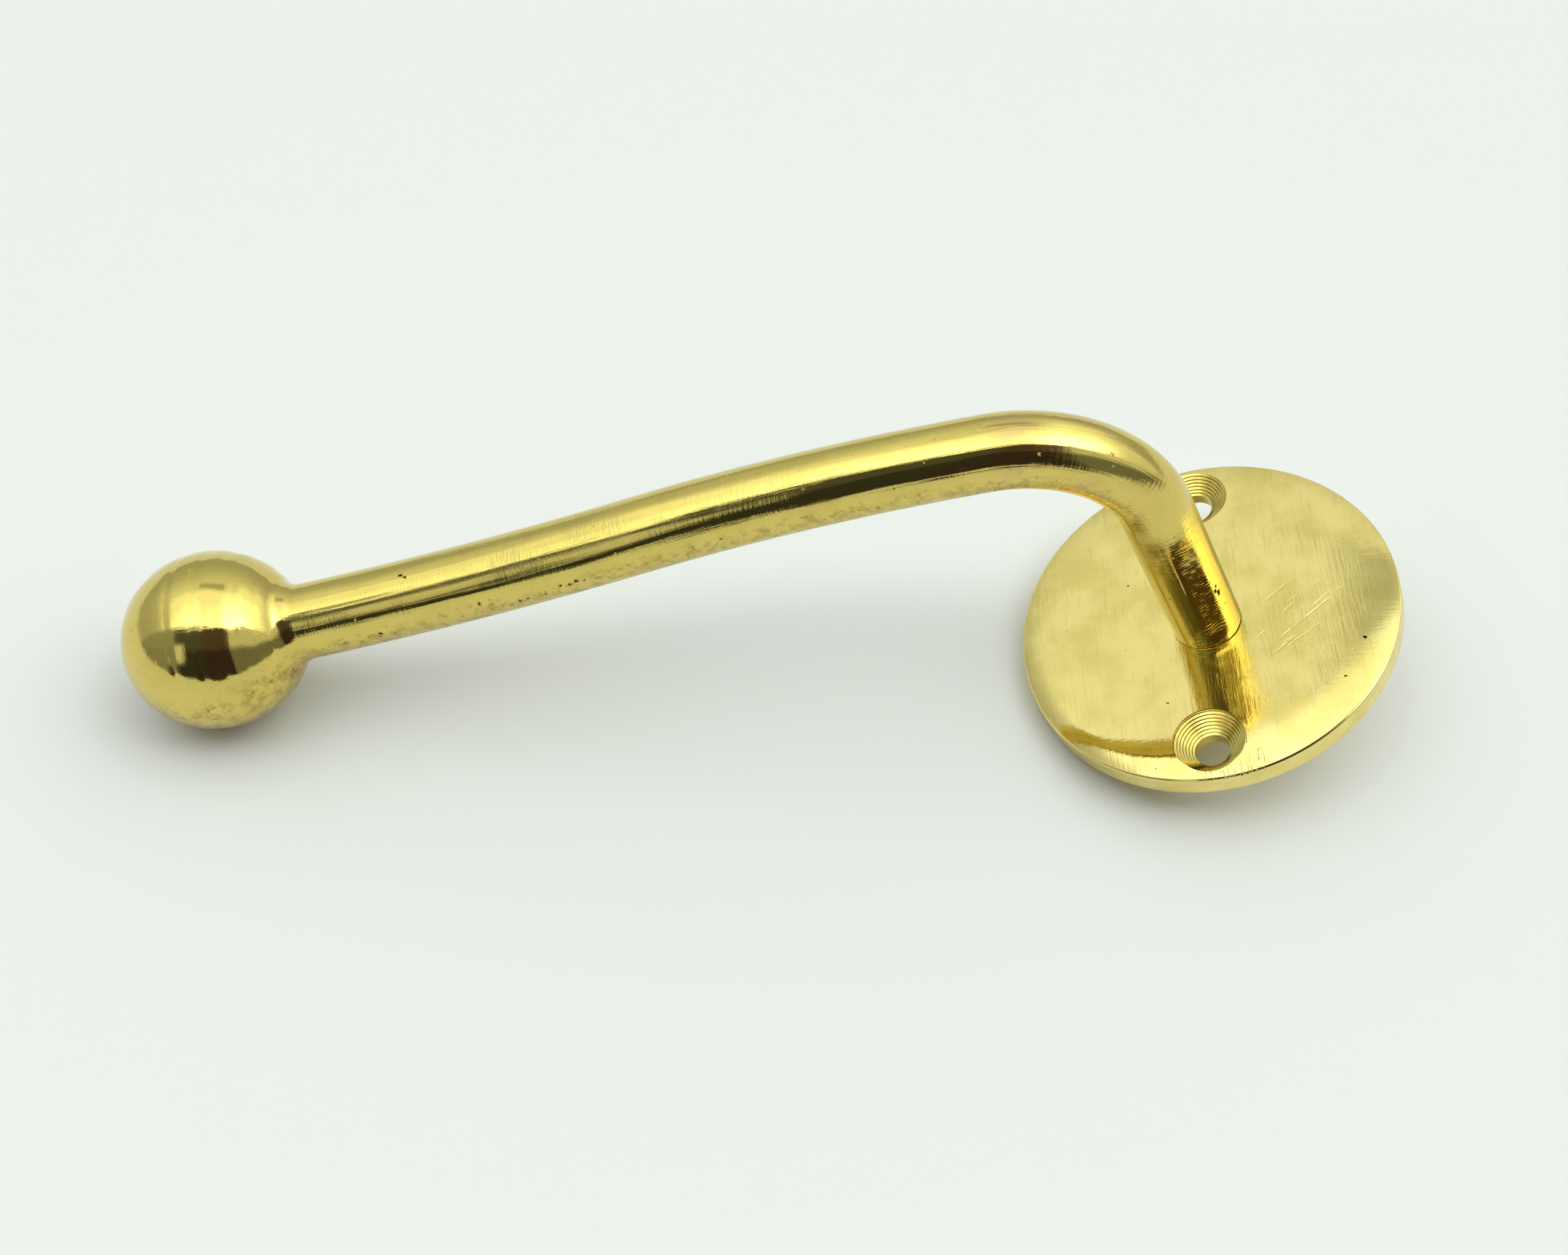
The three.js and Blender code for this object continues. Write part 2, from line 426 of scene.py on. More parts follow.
def rose_finish():
    """Buffed plate: brush lines along the hole line, stray scratches, ticks by the near hole."""
    material, bench, shader = new_finish("brushed_rose")
    coordinates = bench.node("ShaderNodeTexCoord", out="Object")
    local = bench.node(
        "ShaderNodeMapping",
        {"vector_type": "TEXTURE"},
        {"Vector": coordinates, "Location": rose_middle, "Rotation": rose_to_row.to_euler()},
    )
    x, y, z = bench.split(local)
    radius = (x * x + y * y) ** 0.5
    face = z.fade(-0.6 * MM, -0.3 * MM)
    brush = fine_noise(bench, local, (2600, 170, 170), detail=3, roughness=0.65)
    cross = fine_noise(bench, local, (300, 2600, 260), roughness=0.6)
    cloud = noise_at(bench, local, 150, detail=4, roughness=0.6)
    patches = noise_at(bench, local, 80, detail=2)
    grain = noise_at(bench, local, 2600, detail=2)

    slanted = bench.node(
        "ShaderNodeVectorRotate",
        {"rotation_type": "Z_AXIS"},
        {"Vector": local, "Angle": SCRATCH_SLANT},
    )
    stray = fine_noise(bench, slanted, (110, 1700, 190)).fade(0.6, 0.68)
    gap = ((x - SCRATCHES_AT[0]) ** 2 + (y - SCRATCHES_AT[1]) ** 2) ** 0.5
    stray = stray * gap.fade(7.5 * MM, 4 * MM)
    ticks = fine_noise(bench, local, (2400, 420, 300)).fade(0.5, 0.66)
    low = (x * x + (y - TICKS_AT) ** 2) ** 0.5
    ticks = ticks * low.fade(5.5 * MM, 3 * MM) * radius.fade(21.5 * MM, 23 * MM)
    turning = noise_at(bench, z, 3800, detail=2)

    worn = blend_colour(bench, cloud.fade(0.38, 0.66) * 0.6, (*PALE_BRASS, 1), (*BRASS, 1))
    lines = brush.fade(0.52, 0.7) * face * 0.4
    worn = blend_colour(bench, lines, worn, (*BRUSHED_BRASS, 1))
    busy = patches.fade(0.42, 0.62)
    roughness = 0.04 + busy * 0.05 + cloud * 0.04 + (1 - face) * 0.1
    height = brush * (0.22 + busy * 0.45) + cross * 0.12 + grain * 0.07 - stray * 1.1 - ticks * 1.8
    height = height * face + turning * (1 - face) * 1.2
    join_shader(bench, shader, worn, roughness, height, 0.00004)
    return material


# %% [markdown]
# What was only turned, such as the countersinks and the screw, keeps fine marks of the cutter
# and is a little duller. The same recipe in tarnish colours fills the casting pits.

# %% Turned finishes
def turned_finish(name, tool_step, dullness, bright=BRASS, dark=DULL_BRASS):
    """Left as the cutter made it: a fine grain about one tool step across, and a little duller."""
    material, bench, shader = new_finish(name)
    coordinates = bench.node("ShaderNodeTexCoord", out="Object")
    cloud = noise_at(bench, coordinates, 500, detail=3)
    grain = noise_at(bench, coordinates, 1 / tool_step, detail=3)
    colour = blend_colour(bench, cloud.fade(0.4, 0.8) * 0.6, (*bright, 1), (*dark, 1))
    roughness = dullness + cloud * 0.08
    join_shader(bench, shader, colour, roughness, grain, 0.00001)
    return material


arm_brass = arm_finish()
rose_brass = rose_finish()
countersink_brass = turned_finish("turned_countersink", 0.0002, 0.06)
screw_brass = turned_finish("turned_screw", 0.0003, 0.2)
pit_skin = turned_finish("tarnished_pit", 0.0002, 0.35, TARNISH, PIT_FLOOR)
finishes = (arm_brass, rose_brass, countersink_brass, screw_brass, pit_skin)
print("finishes:", [finish.name for finish in finishes])

# %% [markdown]
# ## Shapes from rules
# The rose and its cutting tools are shapes of revolution. `turned` makes one from the points of
# its outline. Booleans then drill and countersink it, just as a drill press would.


# %% Turning and cutting
def turned(name, profile, sides):
    """A closed solid of revolution about +Z. profile runs upwards from axis to axis."""
    shape = bmesh.new()
    rings = []
    for radius, height in profile:
        if radius < 1e-9:
            rings.append([shape.verts.new((0, 0, height))])
            continue
        angles = [2 * math.pi * k / sides for k in range(sides)]
        rings.append(
            [shape.verts.new((radius * math.cos(a), radius * math.sin(a), height)) for a in angles]
        )
    for lower, upper in zip(rings, rings[1:]):
        for k in range(sides):
            after = (k + 1) % sides
            if len(lower) == 1:
                shape.faces.new((lower[0], upper[after], upper[k]))
            elif len(upper) == 1:
                shape.faces.new((lower[k], lower[after], upper[0]))
            else:
                shape.faces.new((lower[k], lower[after], upper[after], upper[k]))
    mesh = bpy.data.meshes.new(name)
    shape.to_mesh(mesh)
    shape.free()
    piece = bpy.data.objects.new(name, mesh)
    bpy.context.scene.collection.objects.link(piece)
    return piece


def settled(piece):
    """The piece with its modifiers turned into plain mesh."""
    graph = bpy.context.evaluated_depsgraph_get()
    mesh = bpy.data.meshes.new_from_object(piece.evaluated_get(graph))
    piece.modifiers.clear()
    piece.data = mesh
    return piece


def cut(piece, tools):
    """piece with each tool's shape taken out of it. The tools are used up."""
    for tool in tools:
        modifier = piece.modifiers.new("cut", "BOOLEAN")
        modifier.operation = "DIFFERENCE"
        modifier.solver = "MANIFOLD"
        modifier.material_mode = "TRANSFER"
        modifier.object = tool
    settled(piece)
    for tool in tools:
        bpy.data.objects.remove(tool)
    return piece


def crisp(piece, degrees):
    """Smooth shading that breaks where faces meet at more than the angle."""
    piece.data.shade_smooth()
    piece.data.set_sharp_from_angle(angle=math.radians(degrees))


# %% [markdown]
# Two jobs suit Geometry Nodes: pits, which repeat, and the bent rod, which follows a path. Each
# tree gets named inputs, runs once on its piece, and leaves plain mesh behind.


# %% Geometry trees
def new_tree(name, sockets):
    """A geometry tree with named inputs, its bench, and a wire for each input."""
    tree = bpy.data.node_groups.new(name, "GeometryNodeTree")
    tree.interface.new_socket("Geometry", in_out="OUTPUT", socket_type="NodeSocketGeometry")
    for label, kind in sockets.items():
        tree.interface.new_socket(label, in_out="INPUT", socket_type="NodeSocket" + kind)
    bench = Bench(tree)
    entry = tree.nodes.new("NodeGroupInput")
    wires = {label: Wire(bench, entry.outputs[label]) for label in sockets}
    return tree, bench, wires


def end_tree(bench, geometry, material):
    plain = bench.node("GeometryNodeRealizeInstances", inputs={0: geometry})
    dressed = bench.node(
        "GeometryNodeSetMaterial", inputs={"Geometry": plain, "Material": material}
    )
    bench.node("NodeGroupOutput", inputs={0: dressed})


def run_tree(piece, tree, values):
    """Runs a tree on a piece with its inputs set by name, and keeps the result as mesh."""
    modifier = piece.modifiers.new(tree.name, "NODES")
    modifier.node_group = tree
    for item in tree.interface.items_tree:
        if item.in_out == "INPUT" and item.name in values:
            modifier[item.identifier] = values[item.name]
    return settled(piece)


# %% [markdown]
# Casting pits are all over both polished pieces. The tree scatters points on the surface from a
# fixed seed, adds the deeper pits that have a known place, and puts a small ragged lump on each.
# A boolean then takes the lumps out of the metal: crisp edges, and dull, tarnished insides.

# %% Pits
PIT_SPACING = 0.8 * MM
SMALLEST_PIT = 0.05 * MM
PIT_FLATNESS = 0.6
RAGGED_SCALE = 2300.0
RAGGEDNESS = 0.55 * MM


def pit_tree():
    sockets = {
        "Geometry": "Geometry",
        "Placed pits": "Object",
        "Density": "Float",
        "Largest": "Float",
        "Seed": "Int",
        "Material": "Material",
    }
    tree, bench, wires = new_tree("pit_lumps", sockets)
    seed = wires["Seed"]
    spread = {"distribute_method": "POISSON"}
    scatter = bench.node(
        "GeometryNodeDistributePointsOnFaces",
        spread,
        {
            "Mesh": wires["Geometry"],
            "Distance Min": PIT_SPACING,
            "Density Max": wires["Density"],
            "Seed": seed,
        },
    )
    chance = bench.node(
        "FunctionNodeRandomValue", inputs={2: 0.0, 3: 1.0, "Seed": seed + 1}, out=1
    )
    size = SMALLEST_PIT + chance**3 * wires["Largest"]
    sized = bench.node(
        "GeometryNodeStoreNamedAttribute",
        {"data_type": "FLOAT", "domain": "POINT"},
        {"Geometry": scatter, "Name": "size", "Value": size},
    )
    placed = bench.node(
        "GeometryNodeObjectInfo", inputs={"Object": wires["Placed pits"]}, out="Geometry"
    )
    placed_points = bench.node("GeometryNodeMeshToPoints", inputs={"Mesh": placed})
    points = bench.node("GeometryNodeJoinGeometry", inputs={0: sized})
    bench.tree.links.new(placed_points.socket, points.socket.node.inputs[0])

    lump = bench.node("GeometryNodeMeshIcoSphere", inputs={"Radius": 1.0, "Subdivisions": 2})
    own_size = bench.node(
        "GeometryNodeInputNamedAttribute", {"data_type": "FLOAT"}, {"Name": "size"}, out="Attribute"
    )
    spin = bench.node(
        "FunctionNodeRandomValue",
        {"data_type": "FLOAT_VECTOR"},
        {0: (0, 0, 0), 1: (6.28,) * 3, "Seed": seed + 2},
    )
    shape = bench.node(
        "ShaderNodeCombineXYZ", inputs={"X": own_size, "Y": own_size * PIT_FLATNESS, "Z": own_size}
    )
    lumps = bench.node(
        "GeometryNodeInstanceOnPoints",
        inputs={"Points": points, "Instance": lump, "Rotation": spin, "Scale": shape},
    )
    loose = bench.node("GeometryNodeRealizeInstances", inputs={0: lumps})
    position = bench.node("GeometryNodeInputPosition")
    inputs = {"Vector": position, "Scale": RAGGED_SCALE}
    ragged = bench.node("ShaderNodeTexNoise", inputs=inputs, out="Color")
    shift = bench.node(
        "ShaderNodeVectorMath", {"operation": "SUBTRACT"}, {0: ragged, 1: (0.5,) * 3}
    )
    offset = bench.node(
        "ShaderNodeVectorMath", {"operation": "SCALE"}, {0: shift, "Scale": RAGGEDNESS}
    )
    torn = bench.node("GeometryNodeSetPosition", inputs={"Geometry": loose, "Offset": offset})
    end_tree(bench, torn, wires["Material"])
    return tree


def pit_points(name, places):
    """A loose point for each (place, size), for the tree to read."""
    mesh = bpy.data.meshes.new(name)
    mesh.from_pydata([place for place, size in places], [], [])
    sizes = mesh.attributes.new("size", "FLOAT", "POINT")
    sizes.data.foreach_set("value", [size for place, size in places])
    holder = bpy.data.objects.new(name, mesh)
    bpy.context.scene.collection.objects.link(holder)
    return holder


pit_lumps = pit_tree()
print("pit tree has", len(pit_lumps.nodes), "nodes")


def pit(piece, places, density, largest, seed):
    """Takes scattered and placed pits out of a piece."""
    holder = pit_points(piece.name + "_pits", places)
    lumps = bpy.data.objects.new(piece.name + "_lumps", piece.data.copy())
    bpy.context.scene.collection.objects.link(lumps)
    values = {
        "Placed pits": holder,
        "Density": density,
        "Largest": largest,
        "Seed": seed,
        "Material": pit_skin,
    }
    run_tree(lumps, pit_lumps, values)
    bpy.data.objects.remove(holder)
    print(piece.name, "pit lumps:", len(lumps.data.polygons), "faces")
    return cut(piece, [lumps])


# %% [markdown]
# ## The rose
# The plate is turned first: a flat back with a small chamfer, an upright band, and a face that
# is nearly flat in the middle and rolls over to a crisp front edge. A slow waviness of a few
# hundredths of a millimetre is what buffing by hand leaves, and it bends every reflection.

# %% Turn the rose
ROSE_RADIUS = 25 * MM
RIM_HEIGHT = 3.25 * MM
BACK = -RIM_HEIGHT
EDGE_BREAK = 0.25 * MM
EDGE_ROUND = 0.22 * MM
BUFFING_WAVE = 0.03 * MM
ROSE_SIDES = 420
FACE_RINGS = 110
CROWN_FALL = 0.15 * MM
SHOULDER_START = 15 * MM
SHOULDER_WIDTH = 10 * MM
SPARED_TOWARDS = math.radians(105)  # the shoulder is least worn on this side
ROLLED_TOWARDS = math.radians(203)  # and the rim rolls over on this one
ROLL_START = 22.2  # mm from the middle
HOLE_REACH = 19.7 * MM
HOLE_RADIUS = 2.3 * MM
MOUTH_RADIUS = 4.6 * MM
HOLE_LINE_SHIFT = -0.75 * MM
HOLE_LINE_SKEW = math.radians(-4.3)


def face_height(radius):
    """Height of the rose's face: nearly flat, then a shoulder that steepens towards the rim."""
    dome = CROWN_FALL * (radius / ROSE_RADIUS) ** 2
    return CROWN - dome - shoulder_fall(radius)


def shoulder_fall(radius):
    share = max(0.0, (radius - SHOULDER_START) / SHOULDER_WIDTH)
    return 0.78 * MM * share**3 + 0.1 * MM * share**12


def hole_place(side):
    """Middle of a screw hole in the rose's frame; side is 1 for the far hole, -1 for the near."""
    along = Vector((-math.sin(HOLE_LINE_SKEW), math.cos(HOLE_LINE_SKEW), 0))
    shift = Vector((math.cos(HOLE_LINE_SKEW), math.sin(HOLE_LINE_SKEW), 0))
    return side * HOLE_REACH * along + HOLE_LINE_SHIFT * shift


def rose_outline():
    outline = [(0, BACK)]
    outline += [(k / 16 * 24 * MM, BACK) for k in range(1, 17)]
    outline += [(ROSE_RADIUS - EDGE_BREAK, BACK), (ROSE_RADIUS, BACK + EDGE_BREAK)]
    edge = face_height(ROSE_RADIUS)
    band = edge - EDGE_ROUND - BACK - EDGE_BREAK
    outline += [(ROSE_RADIUS, BACK + EDGE_BREAK + k / 8 * band) for k in range(1, 9)]
    for k in range(1, 5):
        turn = k / 5 * math.pi / 2
        inset = EDGE_ROUND * (1 - math.cos(turn))
        outline.append((ROSE_RADIUS - inset, edge - EDGE_ROUND * (1 - math.sin(turn))))
    for k in range(FACE_RINGS):
        radius = (ROSE_RADIUS - EDGE_ROUND) * (1 - k / FACE_RINGS)
        outline.append((radius, face_height(radius)))
    outline.append((0, CROWN))
    return outline


def buffed_lift(place):
    """How far buffing left a point above the turned shape: least worn on one side, rolled over
    on another, and slowly wavy all over."""
    radius = place.xy.length
    angle = math.atan2(place.y, place.x)
    spared = (0.5 + 0.5 * math.cos(angle - SPARED_TOWARDS)) ** 2 * 0.65
    towards_roll = max(0, math.cos(angle - ROLLED_TOWARDS)) ** 6
    rolled = towards_roll * max(0, radius / MM - ROLL_START) ** 1.7 * 0.09 * MM
    slow = noise.noise(place * 95) + 0.5 * noise.noise(place * 230)
    fade = min(1, (ROSE_RADIUS - radius) / (3 * MM))
    return spared * shoulder_fall(radius) - rolled + BUFFING_WAVE * slow * fade


rose = turned("rose_visual", rose_outline(), ROSE_SIDES)
for vertex in rose.data.vertices:
    on_face = min(1, max(0, (vertex.co.z - BACK - EDGE_BREAK) / (2.7 * MM)))
    vertex.co.z += on_face * buffed_lift(vertex.co)
print("rose blank:", len(rose.data.polygons), "faces")

# %% [markdown]
# Pits are cut while the plate is still whole, so that a hole can pass through one. Five of them
# have a known place on the face; the rest are scattered.

# %% Pit the rose
def on_rose(x, y):
    """Point of the face in the rose's frame, from millimetres."""
    return Vector((x * MM, y * MM, face_height(math.hypot(x, y) * MM)))


rose.data.materials.append(rose_brass)
rose_pits = [
    (on_rose(19.3, -9.0), 0.3 * MM),
    (on_rose(15.9, -14.2), 0.2 * MM),
    (on_rose(-22.4, -10.0), 0.24 * MM),
    (on_rose(-9.5, 7.5), 0.16 * MM),
    (on_rose(-11.0, -3.0), 0.14 * MM),
]
pit(rose, rose_pits, density=9000.0, largest=0.14 * MM, seed=11)

# %% [markdown]
# The countersinks were cut in small steps, so their tool is a stack of short cones with a fine
# groove at the mouth. From the back comes one more countersunk hole, for the joining screw.

# %% Drill the rose
COUNTERSINK_STEPS = 7
OVERCUT = 1 * MM
SCREW_RADIUS = 2.5 * MM
SCREW_HEAD_RADIUS = 4.6 * MM
SEAT_GAP = 0.3 * MM


def countersink_tool(name, place):
    outline = [(0, BACK - OVERCUT), (HOLE_RADIUS, BACK - OVERCUT)]
    bottom = face_height(HOLE_REACH) - (MOUTH_RADIUS - HOLE_RADIUS)
    outline.append((HOLE_RADIUS, bottom))
    step = (MOUTH_RADIUS - HOLE_RADIUS) / COUNTERSINK_STEPS
    for k in range(COUNTERSINK_STEPS):
        radius = HOLE_RADIUS + k * step
        height = bottom + k * step
        outline += [(radius + 0.8 * step, height + 0.35 * step), (radius + step, height + step)]
    top = outline[-1][1]
    groove = ((0.06, -0.12), (0.16, -0.1), (0.3, 1.2))
    outline += [(MOUTH_RADIUS + wider * MM, top + higher * MM) for wider, higher in groove]
    outline.append((0, outline[-1][1]))
    tool = turned(name, outline, 96)
    tool.data.materials.append(countersink_brass)
    tool.data.transform(Matrix.Translation(place))
    return tool


def joining_hole_tool():
    outline = [
        (0, BACK - OVERCUT),
        (SCREW_HEAD_RADIUS + SEAT_GAP + OVERCUT, BACK - OVERCUT),
        (SCREW_RADIUS + SEAT_GAP, BACK + SCREW_HEAD_RADIUS - SCREW_RADIUS),
        (SCREW_RADIUS + SEAT_GAP, 2 * MM),
        (0, 2 * MM),
    ]
    tool = turned("joining_hole", outline, 96)
    tool.data.materials.append(countersink_brass)
    tool.data.transform(Matrix.Translation((0, -FOOT_SHIFT, 0)))
    return tool


tools = [
    countersink_tool("near_hole", hole_place(-1)),
    countersink_tool("far_hole", hole_place(1)),
    joining_hole_tool(),
]
cut(rose, tools)
crisp(rose, 26)
rose.data.transform(rose_to_row)
print("rose:", len(rose.data.polygons), "faces, materials", [m.name for m in rose.data.materials])

# %% [markdown]
# ## The arm
# The arm starts as a straight turned rod with its ball, bored for the joining screw. A Geometry
# Nodes tree then does the handwork: it keeps the straight place of every vertex as an attribute
# for the finish to read, adds the uneven grinding and the chatter near the foot, and bends the
# rod along a guide line, so that all the marks follow the bend.

# %% Centreline
GUIDE_STEPS = 700


def centreline(distance):
    """Place in the rose's frame and heading at a distance from the foot, exact on each arc."""
    x, z, heading = 0, CROWN, math.pi / 2 - STUB_LEAN
    left = distance
    for length, curvature in STRETCHES:
        step = min(left, length)
        turn = step * curvature
        chord = (2 / curvature) * math.sin(turn / 2) if curvature else step
        x -= math.cos(heading - turn / 2) * chord
        z += math.sin(heading - turn / 2) * chord
        heading -= turn
        left -= step
        if left <= 0:
            break
    return Vector((x, -FOOT_SHIFT, z)), heading


def guide_line():
    """A fine polyline on the centreline in the row's frame, run on straight past the ball."""
    points = [
        centreline(k / GUIDE_STEPS * ROD_LENGTH)[0] for k in range(GUIDE_STEPS + 1)
    ]
    middle, heading = centreline(ROD_LENGTH)
    points.append(middle + 30 * MM * Vector((-math.cos(heading), 0, math.sin(heading))))
    mesh = bpy.data.meshes.new("guide_line")
    edges = [(k, k + 1) for k in range(len(points) - 1)]
    mesh.from_pydata([rose_to_row @ p for p in points], edges, [])
    guide = bpy.data.objects.new("guide_line", mesh)
    bpy.context.scene.collection.objects.link(guide)
    return guide


print("ball's centre:", [round(c / MM, 2) for c in rose_to_row @ centreline(ROD_LENGTH)[0]])

# %% [markdown]
# The straight rod is one outline turned round: the bore and the flat foot, the rod with rings
# close together where the chatter comes, a hollow neck, and a ball that is a little longer than
# it is wide.

# %% Straight rod with its ball
FOOT_RADIUS = 4.65 * MM
NECK_RADIUS = 5 * MM
BALL_RADIUS = 11.7 * MM
BALL_STRETCH = 1.05
NECK_FILLET = 3 * MM
BORE_RADIUS = SCREW_RADIUS + SEAT_GAP
BORE_DEPTH = 12.3 * MM
ROD_SIDES = 124
STUB_STEP = 0.13 * MM
ROD_STEP = 0.34 * MM
STUB_END = 21 * MM
VISIBLE_SEAM = 0.1 * MM
CREASES = (  # rings filed round the ball: place in mm towards the rod, and reach in mm
    (-1.3, 0.8),
    (2.3, 0.7),
    (4.9, 1.2),
    (7.1, 1.0),
    (9.3, 0.8),
    (10.9, 0.7),
)


def rod_outline():
    """Bore, foot, rod, neck and ball, as (radius, distance from the foot)."""
    outline = [(0, BORE_DEPTH), (BORE_RADIUS, BORE_DEPTH)]
    outline += [(BORE_RADIUS, BORE_DEPTH * (1 - k / 8)) for k in range(1, 9)]
    outline.append((FOOT_RADIUS - 0.08 * MM, 0))
    join = BALL_RADIUS + NECK_FILLET
    fillet_centre = NECK_RADIUS + NECK_FILLET
    neck_back = BALL_STRETCH * math.sqrt(join**2 - fillet_centre**2)
    neck_start = ROD_LENGTH - neck_back
    distance = 0.06 * MM
    while distance < neck_start:
        share = distance / neck_start
        outline.append((FOOT_RADIUS + share * (NECK_RADIUS - FOOT_RADIUS), distance))
        distance += STUB_STEP if distance < STUB_END else ROD_STEP
    sweep = math.atan2(fillet_centre, neck_back)
    for k in range(13):
        a = k / 12 * (math.pi / 2 - sweep)
        ahead = BALL_STRETCH * NECK_FILLET * math.sin(a)
        outline.append((fillet_centre - NECK_FILLET * math.cos(a), neck_start + ahead))
    rings = 120
    for k in range(1, rings):
        a = (1 - k / rings) * (math.pi - sweep)
        place = BALL_STRETCH * BALL_RADIUS * math.cos(a)
        outline.append((BALL_RADIUS * math.sin(a), ROD_LENGTH + place))
    outline.append((0, ROD_LENGTH + BALL_STRETCH * BALL_RADIUS))
    return outline


rod = turned("ball_arm_visual", rod_outline(), ROD_SIDES)
for vertex in rod.data.vertices:
    if vertex.co.xy.length < BORE_RADIUS + 0.1 * MM and vertex.co.z < BORE_DEPTH + 0.7 * MM:
        vertex.co.x -= vertex.co.z * math.tan(STUB_LEAN)  # the screw stands square to the rose
print("rod:", len(rod.data.polygons), "faces")

# %% [markdown]
# Hand grinding leaves a rod slightly lobed: long shallow flats that wander along it. They show
# only in reflections, as thin light and dark lines beside the broad ones. The noise for them is
# stretched along the rod and moves the surface only a few hundredths of a millimetre. On the
# stub's near side the file left a flat with chatter across it, and round the ball it left rings.


# %% Tree that grinds and bends the rod
CHATTER_PITCH = 0.47 * MM
CHATTER_FACES = 0.48  # angle round the rod, in radians from the near side
FLAT_FACES = 0.36
CREASE_SLOPE = 0.06


def bending_tree():
    sockets = {
        "Geometry": "Geometry",
        "Guide": "Object",
        "Lobes": "Float",
        "Chatter": "Float",
        "Material": "Material",
    }
    tree, bench, wires = new_tree("grind_and_bend", sockets)
    straight = bench.node("GeometryNodeInputPosition")
    kept = bench.node(
        "GeometryNodeStoreNamedAttribute",
        {"data_type": "FLOAT_VECTOR", "domain": "POINT"},
        {"Geometry": wires["Geometry"], "Name": "unbent", "Value": straight},
    )
    px, py, distance = bench.split(straight)
    radius = (px * px + py * py) ** 0.5
    round_it = px.math("ARCTAN2", py * -1)  # 0 faces the near side, a quarter turn is outward
    outer = (radius - BORE_RADIUS).fade(0.2 * MM, 1 * MM)

    flats = fine_noise(bench, straight, (480, 480, 26), roughness=0.45)
    ripples = fine_noise(bench, straight, (1100, 1100, 60))
    ball = distance.fade(ROD_LENGTH - 16 * MM, ROD_LENGTH - 11 * MM)
    lobes = (flats - 1.0) * 2 + (ripples - 0.62) * 0.5
    lobes = lobes * wires["Lobes"] * (1 - ball * 0.3)

    wander = noise_at(bench, straight, 420, detail=3) * 1.9 * MM
    broken = noise_at(bench, straight, 900, detail=1).fade(0.3, 0.65)
    ridges = (distance + wander + round_it * 0.5 * MM) * (2 * math.pi / CHATTER_PITCH)
    facing = around(round_it, CHATTER_FACES, 0.42, 0.3)
    patch = distance.fade(0.8 * MM, 2.5 * MM) * distance.fade(23 * MM, 18 * MM)
    chatter = ridges.math("SINE") * facing * patch * wires["Chatter"] * (0.25 + broken)
    filed = 0.95 * FOOT_RADIUS / (round_it - FLAT_FACES).math("COSINE").math("MAXIMUM", 0.5)
    filed = (filed - radius).math("MINIMUM", 0.0) * patch

    creases = 0
    for place, reach in CREASES:
        gap = (distance - (ROD_LENGTH - place * MM)).math("ABSOLUTE")
        depth = CREASE_SLOPE * reach * MM
        creases = (gap / (reach * MM)).math("MINIMUM", 1.0) * depth - depth + creases
    creases = creases * ball
    dents = noise_at(bench, straight, 700, detail=1).fade(0.5, 0.8)
    dent_zone = ball * (py * -1 + px * -1).fade(2 * MM, 9 * MM)
    height = (lobes + chatter + filed + creases - dents * dent_zone * 0.05 * MM) * outer

    flat = bench.node(
        "ShaderNodeCombineXYZ", inputs={"X": px / radius, "Y": py / radius, "Z": 0.0}
    )
    swell = bench.node("ShaderNodeVectorMath", {"operation": "SCALE"}, {0: flat, "Scale": height})
    swelled = bench.node("ShaderNodeVectorMath", {"operation": "ADD"}, {0: straight, 1: swell})
    side, level = bench.split(swelled)[:2]

    foot_plane = (VISIBLE_SEAM - side * math.sin(STUB_LEAN)) / math.cos(STUB_LEAN)
    along = distance + foot_plane * distance.fade(6 * MM, 0)
    guide_mesh = bench.node(
        "GeometryNodeObjectInfo", inputs={"Object": wires["Guide"]}, out="Geometry"
    )
    guide = bench.node("GeometryNodeMeshToCurve", inputs={"Mesh": guide_mesh})
    sample = bench.node(
        "GeometryNodeSampleCurve", {"mode": "LENGTH"}, {"Curves": guide, "Length": along}
    ).socket.node
    middle = Wire(bench, sample.outputs["Position"])
    heading = Wire(bench, sample.outputs["Tangent"])
    upward = bench.node(
        "ShaderNodeVectorMath", {"operation": "CROSS_PRODUCT"}, {0: (0, 1, 0), 1: heading}
    )
    lift = bench.node("ShaderNodeVectorMath", {"operation": "SCALE"}, {0: upward, "Scale": side})
    width = bench.node("ShaderNodeCombineXYZ", inputs={"X": 0.0, "Y": level, "Z": 0.0})
    both = bench.node("ShaderNodeVectorMath", {"operation": "ADD"}, {0: lift, 1: width})
    place = bench.node("ShaderNodeVectorMath", {"operation": "ADD"}, {0: middle, 1: both})
    bent = bench.node("GeometryNodeSetPosition", inputs={"Geometry": kept, "Position": place})
    end_tree(bench, bent, wires["Material"])
    return tree


grind_and_bend = bending_tree()
guide = guide_line()
values = {"Guide": guide, "Lobes": 0.09 * MM, "Chatter": 0.02 * MM, "Material": arm_brass}
run_tree(rod, grind_and_bend, values)
bpy.data.objects.remove(guide)
corners = (rod.bound_box[0], rod.bound_box[6])
print("arm box in mm:", [[round(c / MM, 2) for c in corner] for corner in corners])

# %% [markdown]
# The deep pits of the casting have known places along the rod and round it. `on_rod` turns such
# a place into a point on the bent surface.

# %% Pits in the arm
def on_rod(distance, degrees, radius):
    """Point on the rod in the row's frame. 0 degrees faces the near side, 90 is up and outward."""
    middle, heading = centreline(distance * MM)
    up = Vector((math.sin(heading), 0, math.cos(heading)))
    turn = math.radians(degrees)
    offset = up * math.sin(turn) - across * math.cos(turn)
    return rose_to_row @ (middle + offset * radius * MM)


